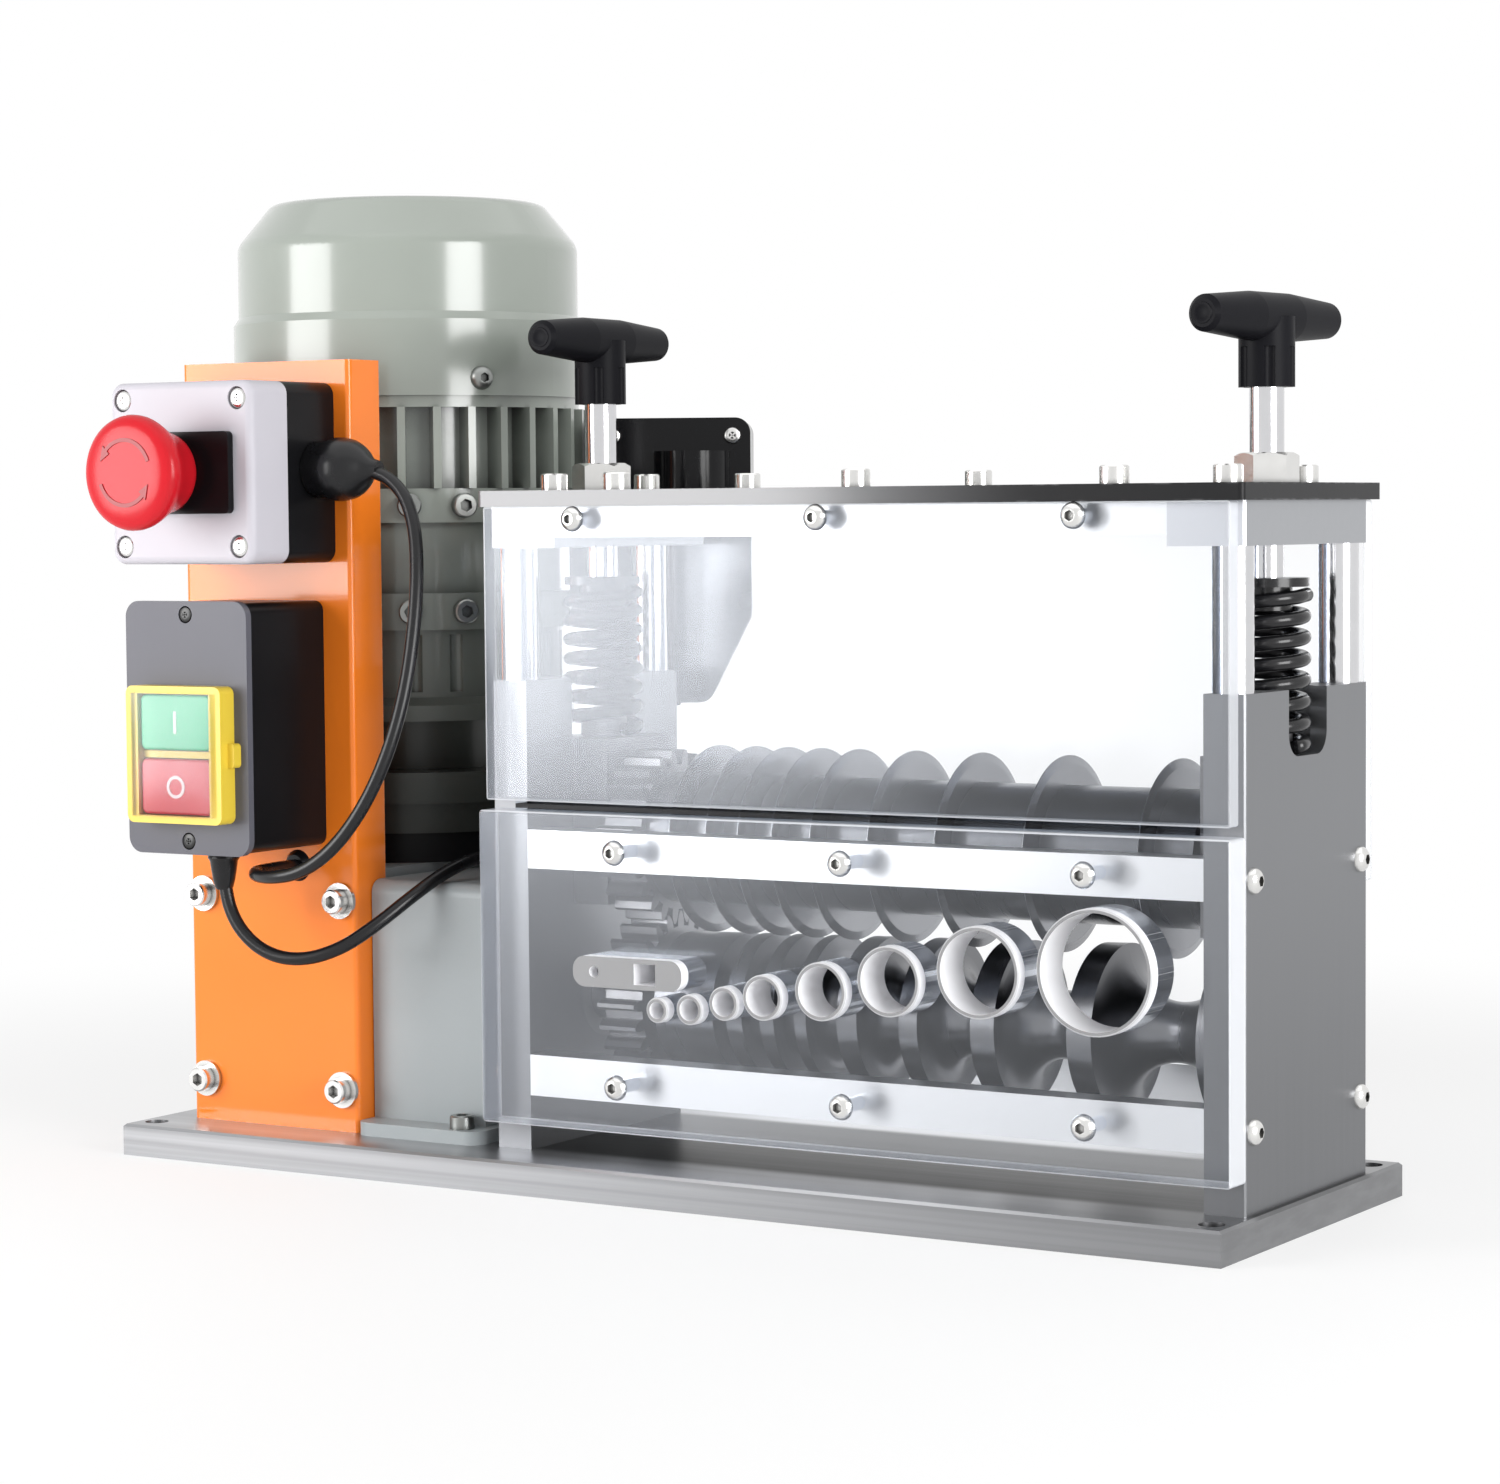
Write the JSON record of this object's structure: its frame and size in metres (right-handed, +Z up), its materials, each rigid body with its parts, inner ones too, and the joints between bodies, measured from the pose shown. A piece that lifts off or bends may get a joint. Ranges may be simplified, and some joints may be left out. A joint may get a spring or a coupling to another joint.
{
  "type": "electric wire stripping machine",
  "caption": "Bench wire stripper: motor and worm gearbox beside a clear-guarded frame with a grooved feed roller under sprung cutter discs, T-screws, emergency stop and switch.",
  "frame": {"origin": "centre of the base plate's bottom face", "axes": "+X along the machine from the motor to the T-screw end, +Y to the back (wires go in at the front along +Y), +Z up"},
  "size_m": [0.4754, 0.2587, 0.368],
  "materials": {
    "steel_plate": "matt brushed grey steel",
    "end_plate": "satin grey ground steel",
    "aluminium": "milled, pale and slightly matt",
    "top_plate": "dark grey, satin",
    "acrylic": "clear acrylic sheet, polished edges",
    "seal": "black strip",
    "bright_steel": "bright polished",
    "zinc": "bright zinc plate",
    "roller_steel": "turned steel, satin",
    "disc_steel": "ground bright, sharp rim",
    "gear_steel": "machined, oiled",
    "bronze": "machined bronze",
    "slide_iron": "ground",
    "black_steel": "black, semi-gloss",
    "handle_plastic": "black moulded plastic",
    "gearbox_paint": "blue-grey machine enamel",
    "black_enamel": "black enamel",
    "motor_paint": "green-grey gloss enamel",
    "stator_iron": "laminated core, varnished",
    "rotor_steel": "turned steel",
    "fan_plastic": "black plastic",
    "box_plastic": "black glossy plastic",
    "orange_paint": "orange powder coat",
    "black_plastic": "black plastic",
    "light_plastic": "light grey plastic",
    "red_plastic": "red plastic",
    "grey_plastic": "dark grey plastic",
    "yellow_plastic": "yellow plastic",
    "green_plastic": "green plastic",
    "cable": "black cable sheath"
  },
  "bodies": {
    "frame": {"base_plate": "steel_plate", "left_end_plate": "end_plate", "right_end_plate": "end_plate", "top_blocks": "aluminium", "cross_bars": "aluminium", "top_plate": "top_plate", "upper_front_guard": "acrylic", "lower_front_guard": "acrylic", "rear_guard": "acrylic", "gap_seal": "seal", "guide_posts": "bright_steel", "wire_guides": "bright_steel", "top_plate_screws": "zinc", "frame_screws": "zinc", "bracket_screws": "zinc", "motor_bolts": "zinc", "tee_screw_nuts": "zinc", "lower_bearings": "gear_steel", "left_spring": "black_steel", "right_spring": "black_steel", "gearbox_housing": "gearbox_paint", "gearbox_cover": "gearbox_paint", "coupling_housing": "gearbox_paint", "gearbox_input_flange": "black_enamel", "motor_adapter": "motor_paint", "stator_housing": "motor_paint", "motor_frame": "motor_paint", "fan_cover": "motor_paint", "stator": "stator_iron", "terminal_box": "box_plastic", "terminal_box_lid": "box_plastic", "control_bracket": "orange_paint", "estop_base": "black_plastic", "estop_collar": "black_plastic", "switch_box": "black_plastic", "cable_glands": "black_plastic", "estop_lid": "light_plastic", "switch_face_plate": "grey_plastic", "switch_surround": "yellow_plastic", "estop_lead": "cable", "switch_lead": "cable"},
    "rotor": {"motor_rotor": "rotor_steel", "cooling_fan": "fan_plastic"},
    "lower_roller": {"lower_roller": "roller_steel", "lower_gear": "gear_steel", "shaft_coupling": "gear_steel", "worm_wheel": "bronze"},
    "carriage": {"bearing_slides": "slide_iron"},
    "upper_roller": {"upper_shaft": "roller_steel", "cutter_discs": "disc_steel", "upper_gear": "gear_steel"},
    "left_cap": {"left_spring_cap": "black_steel"},
    "right_cap": {"right_spring_cap": "black_steel"},
    "left_screw": {"left_tee_screw": "bright_steel", "left_tee_handle": "handle_plastic"},
    "right_screw": {"right_tee_screw": "bright_steel", "right_tee_handle": "handle_plastic"},
    "estop_head": {"estop_button": "red_plastic"},
    "start_key": {"start_button": "green_plastic"},
    "stop_key": {"stop_button": "red_plastic"}
  },
  "joints": [
    {"name": "motor_spin", "type": "hinge", "parent": "frame", "child": "rotor", "pos_m": [-0.1754, 0.04, 0.2], "axis": [0, 0, 1], "continuous": true},
    {"name": "lower_roller_spin", "type": "hinge", "parent": "frame", "child": "lower_roller", "pos_m": [0.05, 0, 0.0642], "axis": [1, 0, 0], "continuous": true},
    {"name": "carriage_slide", "type": "slide", "parent": "frame", "child": "carriage", "axis": [0, 0, 1], "range_m": [0, 0.003], "stiffness_N_per_m": 20000, "springref_m": -0.005},
    {"name": "upper_roller_spin", "type": "hinge", "parent": "carriage", "child": "upper_roller", "pos_m": [0.05, 0, 0.1242], "axis": [1, 0, 0], "continuous": true},
    {"name": "left_cap_slide", "type": "slide", "parent": "frame", "child": "left_cap", "axis": [0, 0, 1], "range_m": [-0.003, 0.006], "deforming": ["left_spring"]},
    {"name": "left_tee_turn", "type": "hinge", "parent": "left_cap", "child": "left_screw", "pos_m": [-0.0575, 0, 0.25], "axis": [0, 0, 1], "range_deg": [-618, 1236]},
    {"name": "right_cap_slide", "type": "slide", "parent": "frame", "child": "right_cap", "axis": [0, 0, 1], "range_m": [-0.003, 0.006], "deforming": ["right_spring"]},
    {"name": "right_tee_turn", "type": "hinge", "parent": "right_cap", "child": "right_screw", "pos_m": [0.212, 0, 0.25], "axis": [0, 0, 1], "range_deg": [-618, 1236]},
    {"name": "estop_press", "type": "slide", "parent": "frame", "child": "estop_head", "axis": [0, 1, 0], "range_m": [0, 0.004], "stiffness_N_per_m": 3000, "springref_m": -0.004},
    {"name": "start_press", "type": "slide", "parent": "frame", "child": "start_key", "axis": [0, 1, 0], "range_m": [0, 0.002], "stiffness_N_per_m": 1200, "springref_m": -0.002},
    {"name": "stop_press", "type": "slide", "parent": "frame", "child": "stop_key", "axis": [0, 1, 0], "range_m": [0, 0.002], "stiffness_N_per_m": 1200, "springref_m": -0.002}
  ],
  "couplings": [
    {"joint": "lower_roller_spin", "follows": "motor_spin", "ratio": 0.033333},
    {"joint": "upper_roller_spin", "follows": "motor_spin", "ratio": -0.033333},
    {"joint": "left_tee_turn", "follows": "left_cap_slide", "rad_per_m": 3590.4},
    {"joint": "right_tee_turn", "follows": "right_cap_slide", "rad_per_m": 3590.4}
  ]
}
